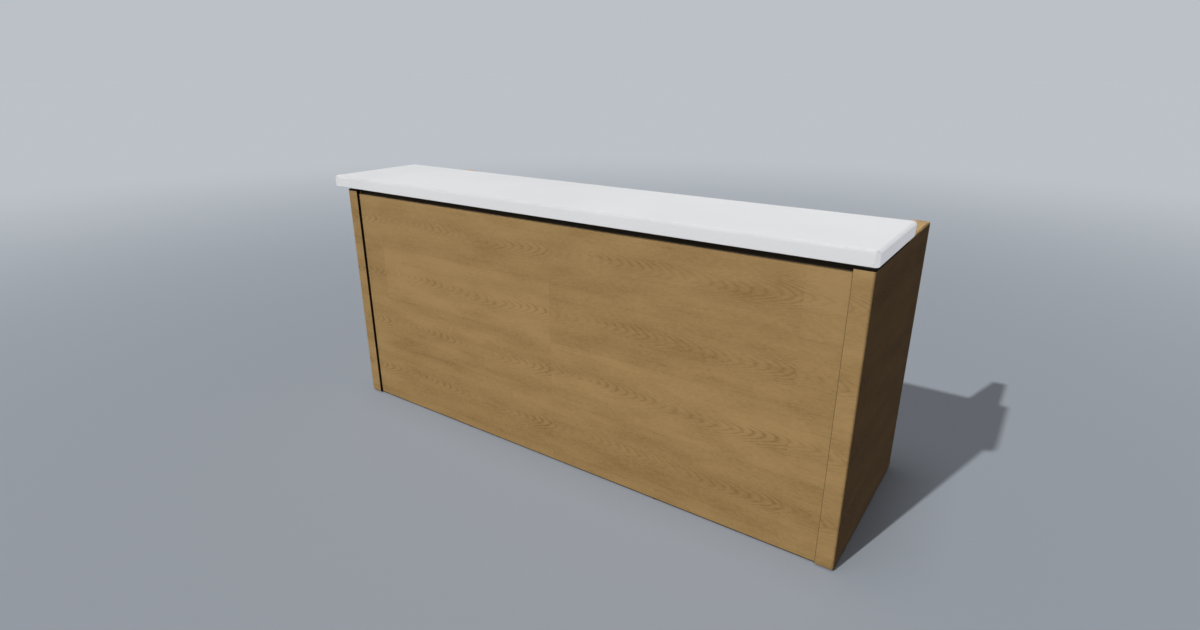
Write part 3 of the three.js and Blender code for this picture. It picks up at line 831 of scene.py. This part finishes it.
at = []
for side, s in SIDES:
    for y in (0.0, 50.0):
        at.append(((s * 1132.0, y, 1030.0), (-s, 0, 0)))
    for y in (260.0, 300.0):
        at.append(((s * 1132.0, y, 678.0), (-s, 0, 0)))
        at.append(((s * 1132.0, y, 699.0), (-s, 0, 0)))
screws("seat_plate_screws", at, 3.2)

at = []
for x in (-760.0, 0.0, 760.0):
    for y in (-275.5, -128.5):
        at.append(((x - 7.0, y, 712.5), (0, 0, -1)))
        at.append(((x + 7.0, y, 712.5), (0, 0, -1)))
    for y, d in ((-264.5, -1), (-139.5, 1)):
        at.append(((x, y, 655.0), (0, d, 0)))
screws("hanger_screws", at, 3.0)

# ---------------------------------------------------------------------------
# Spacer pads over the side panels: ribbed rubber discs

for side, s in SIDES:
    for where, y in (("front", -290.0), ("rear", 0.0)):
        prof = [(0.0, 1053.0), (18.6, 1053.0), (19.6, 1053.5), (20.0, 1054.6)]
        for z in (1057.5, 1061.5, 1065.5):
            prof += [(20.0, z - 1.2), (19.2, z - 0.6), (19.2, z + 0.6), (20.0, z + 1.2)]
        prof += [(20.0, 1068.4), (19.6, 1069.5), (18.6, 1070.0), (0.0, 1070.0)]
        verts, faces = lathe(prof, 48)
        make(f"spacer_disc_{where}_{side}", [(v[0] + s * 1168.0, v[1] + y, v[2]) for v in verts], faces,
             RUBBER, nodes=f"spacer_pad_{where}_{side}", sharp=50)

# ---------------------------------------------------------------------------
# Levelling feet: a domed pad under a threaded stud, in a threaded insert


def foot(pad, stud, top):
    prof = [(0.0, 0.0), (pad - 1.6, 0.0), (pad - 0.5, 0.35), (pad, 1.2), (pad, 2.6), (pad - 0.5, 3.4), (pad - 1.4, 4.0), (stud + 0.8, 4.0), (stud - 0.2, 4.1)]
    z = 4.6
    while z + 1.5 < top - 1.2:
        prof += [(stud - 0.6, z), (stud, z + 0.75)]
        z += 1.5
    prof += [(stud - 0.7, top - 0.6), (stud - 1.2, top), (0.0, top)]
    return lathe(prof, 40)


def ring(outer, inner, height):
    prof = [(inner, 4.0 + 0.6), (inner + 0.6, 4.0), (outer - 0.4, 4.0), (outer, 4.4), (outer, 4.0 + height - 0.4),
            (outer - 0.4, 4.0 + height), (inner + 0.4, 4.0 + height), (inner, 4.0 + height - 0.4)]
    n = 40
    rings = []
    for r, z in prof:
        rings.append([(r * math.cos(2 * math.pi * i / n), r * math.sin(2 * math.pi * i / n), z) for i in range(n)])
    return bridge(rings, closed=True)


FEET = []
for side, s in SIDES:
    FEET.append(("front_" + side, s * 1168.0, -300.0, 20.0, 5.0, 50.0, 10.0, 5.3, 30.0))
    FEET.append(("rear_" + side, s * 1168.0, 355.0, 20.0, 5.0, 50.0, 10.0, 5.3, 30.0))
    FEET.append(("panel_" + side, s * 500.0, -339.0, 11.0, 4.0, 42.0, 7.0, 4.3, 25.0))
for where, x, y, pad, stud, top, outer, inner, height in FEET:
    verts, faces = foot(pad, stud, top)
    make("levelling_foot_" + where, [(v[0] + x, v[1] + y, v[2]) for v in verts], faces, [RUBBER, ZINC],
         body="foot_" + where, nodes="foot_" + where, pick=lambda n, c: 0 if c.z < 4.05 else 1, sharp=50)
    verts, faces = ring(outer, inner, height)
    make("levelling_insert_" + where, [(v[0] + x, v[1] + y, v[2]) for v in verts], faces, ZINC,
         nodes="foot_insert_" + where, sharp=50)

# ---------------------------------------------------------------------------
# Cable ports

for (side, s), (cx, cy) in zip(SIDES, PORTS):
    # frame: one section swept round the opening; the section is distance out and height
    section = [(0.0, 700.6), (0.6, 700.0), (6.4, 700.0), (7.0, 700.6), (7.0, 740.0), (13.6, 740.0), (14.6, 740.2),
               (15.0, 740.8), (14.6, 741.6), (12.0, 742.6), (9.0, 743.0), (1.0, 743.0), (0.3, 742.7), (0.0, 742.0)]
    rings = []
    for o, z in section:
        rings.append([(p, q, z) for p, q in round_rect(cx - 75.0 - o, cx + 75.0 + o, cy - 35.0 - o, cy + 35.0 + o,
                                                       min(3.0 + o, 8.0) if o > 8 else 3.0 + o * 0.5, 5)])
    bag = Bag().take(*bridge(rings, closed=True))
    for e in (-1, 1):
        x0, x1 = sorted((cx + e * 71.0, cx + e * 75.0))
        bag.take(*board((x0, cy - 18.0, 735.0), (x1, cy + 32.0, 740.0), 2, 0.6, 0.4, 0.4, 2, 2))
    make("port_bezel_" + side, bag.verts, bag.faces, PLASTIC, nodes="port_frame_" + side, sharp=50)

    # lid: a flat plate with a finger notch, rolled round its hinge barrel
    outline = [(cx - 74.0, -229.0), (cx + 74.0, -229.0)]
    outline += [(cx + 74.0 - 2.0 + 2.0 * math.cos(a), -179.0 - 2.0 + 2.0 * math.sin(a))
                for a in [math.radians(90.0 * i / 5) for i in range(6)]]
    notch = []
    for i in range(13):
        a = math.pi * i / 12
        notch.append((cx + 13.0 * math.cos(a), -179.0 - 7.0 * math.sin(a)))
    outline += notch
    outline += [(cx - 74.0 + 2.0 - 2.0 * math.sin(a), -179.0 - 2.0 + 2.0 * math.cos(a))
                for a in [math.radians(90.0 * i / 5) for i in range(6)]]
    n = len(outline)
    verts = [(p, q, 740.0) for p, q in outline] + [(p, q, 743.0) for p, q in outline]
    faces = [tuple(range(n - 1, -1, -1)), tuple(range(n, 2 * n))]
    faces += [(i, (i + 1) % n, n + (i + 1) % n, n + i) for i in range(n)]
    lid = make("port_flap_" + side, verts, faces, ALU, body="port_lid_" + side,
               nodes="port_lid_" + side, bevel=0.5, segments=2, angle=35)
    prof = [(2.1, -73.6), (3.1, -74.0), (3.5, -73.6)]
    for g in (-45.0, -15.0, 15.0, 45.0):
        prof += [(3.5, g - 0.5), (3.1, g - 0.25), (3.1, g + 0.25), (3.5, g + 0.5)]
    prof += [(3.5, 73.6), (3.1, 74.0), (2.1, 73.6)]
    m = 28
    rings = [[(cx + z, -229.0 + r * math.cos(2 * math.pi * i / m), 739.5 + r * math.sin(2 * math.pi * i / m))
              for i in range(m)] for r, z in prof]
    verts, faces = bridge(rings, closed=True)
    make("port_hinge_barrel_" + side, verts, faces, ALU, body="port_lid_" + side, sharp=50)

    verts, faces = lathe([(0.0, -80.0), (1.6, -80.0), (2.0, -79.6), (2.0, 79.6), (1.6, 80.0), (0.0, 80.0)], 28)
    make("port_hinge_pin_" + side, [(cx + v[2], -229.0 + v[0], 739.5 + v[1]) for v in verts], faces, ZINC,
         nodes="port_pin_" + side, sharp=50)

# ---------------------------------------------------------------------------
# Floor and light

PIECES = [o for o in scene.objects if o.type == "MESH"]


def floor_material():
    s = Shader("studio_floor")
    x, y, _ = s.xyz
    away = s.math("SQRT", s.add(s.mul(x, x), s.mul(y, y)))
    cloud = s.noise(s.coord, 0.35, 3.0, 0.5)
    fade = s.span(s.mad(s.sub(cloud, 0.5), 0.6, away), 1.6, 11.0, 0.0, 1.0, True)
    s.set(
        Base_Color=s.mix(fade, (0.243, 0.266, 0.298), (0.415, 0.4475, 0.481)),
        Roughness=0.9,
        Specular_IOR_Level=0.0,
    )
    return s.mat


bm = bmesh.new()
bmesh.ops.create_circle(bm, cap_ends=True, segments=96, radius=120.0)
mesh = bpy.data.meshes.new("studio_floor")
bm.to_mesh(mesh)
bm.free()
mesh.materials.append(floor_material())
floor = bpy.data.objects.new("studio_floor", mesh)
floor.location.z = -0.0005
floor.visible_diffuse = False
floor.visible_glossy = False
floor.visible_shadow = False
scene.collection.objects.link(floor)

# Soft room light: brighter from the front left and above
world = bpy.data.worlds.new("studio")
world.use_nodes = True
scene.world = world
wt = world.node_tree
wt.nodes.clear()
w_out = wt.nodes.new("ShaderNodeOutputWorld")
w_fill = wt.nodes.new("ShaderNodeBackground")
w_seen = wt.nodes.new("ShaderNodeBackground")
w_mix = wt.nodes.new("ShaderNodeMixShader")
w_path = wt.nodes.new("ShaderNodeLightPath")
w_dir = wt.nodes.new("ShaderNodeTexCoord")
w_dot = wt.nodes.new("ShaderNodeVectorMath")
w_dot.operation = "DOT_PRODUCT"
w_dot.inputs[1].default_value = (-0.40, -0.55, 0.73)
w_span = wt.nodes.new("ShaderNodeMapRange")
w_span.interpolation_type = "SMOOTHSTEP"
for i, v in enumerate((-0.1, 0.9, 0.085, 0.14)):
    w_span.inputs[i + 1].default_value = v
w_fill.inputs[0].default_value = (1.0, 0.92, 0.93, 1.0)
w_seen.inputs[0].default_value = (0.497, 0.533, 0.571, 1.0)
wt.links.new(w_dir.outputs["Generated"], w_dot.inputs[0])
wt.links.new(w_dot.outputs["Value"], w_span.inputs[0])
wt.links.new(w_span.outputs[0], w_fill.inputs[1])
wt.links.new(w_path.outputs["Is Camera Ray"], w_mix.inputs[0])
wt.links.new(w_fill.outputs[0], w_mix.inputs[1])
wt.links.new(w_seen.outputs[0], w_mix.inputs[2])
wt.links.new(w_mix.outputs[0], w_out.inputs[0])


def lights_only(lamp, name, objects):
    group = bpy.data.collections.new(name)
    for o in objects:
        group.objects.link(o)
    lamp.light_linking.receiver_collection = group
    return lamp


def sun(name, travels, strength, angle, colour):
    data = bpy.data.lights.new(name, "SUN")
    data.energy = strength
    data.angle = math.radians(angle)
    data.color = colour
    ob = bpy.data.objects.new(name, data)
    ob.rotation_euler = Vector(travels).to_track_quat("-Z", "Y").to_euler()
    scene.collection.objects.link(ob)
    return ob


def area(name, at, target, size, watts, colour):
    data = bpy.data.lights.new(name, "AREA")
    data.shape = "RECTANGLE"
    data.size, data.size_y = size
    data.energy = watts
    data.color = colour
    ob = bpy.data.objects.new(name, data)
    ob.location = at
    ob.rotation_euler = (Vector(target) - Vector(at)).to_track_quat("-Z", "Y").to_euler()
    scene.collection.objects.link(ob)
    return ob


rest = [o for o in PIECES if o is not slab]
lights_only(sun("key", (0.306, 1.134, -0.56), 2.26, 3.0, (1.0, 0.995, 0.985)), "lit_by_key", rest)
lights_only(sun("floor_key", (0.306, 1.134, -1.0), 3.4, 1.2, (1.0, 0.995, 0.985)), "lit_by_floor_key", [floor])
sun("top", (0.05, 0.10, -1.0), 1.25, 25.0, (0.98, 0.99, 1.0))
rear = area("rear_fill", (-1.2, 3.2, 2.6), (-0.2, 0.0, 0.7), (2.4, 1.6), 110.0, (1.0, 0.99, 0.97))
lights_only(rear, "lit_by_rear_fill", rest)
# even, soft light for the white slab: front, below, behind and its right end
lamp = lights_only(sun("slab_end", (-1.0, -0.40, 0.45), 2.44, 20.0, (0.92, 0.95, 1.0)), "lit_by_slab_end", [slab])
lamp.visible_glossy = False
for name, travels, strength in (("slab_front", (0.385, 1.425, -1.05), 0.80),
                                ("slab_below", (0.10, 0.90, 0.43), 1.78),
                                ("slab_rear", (0.10, -0.60, -0.75), 1.81)):
    lamp = lights_only(sun(name, travels, strength, 12.0, (0.975, 0.992, 1.0)), "lit_by_" + name, [slab])
    lamp.visible_glossy = False

scene.view_settings.view_transform = "Standard"
scene.view_settings.look = "None"
scene.view_settings.exposure = 0.0
scene.view_settings.gamma = 1.0
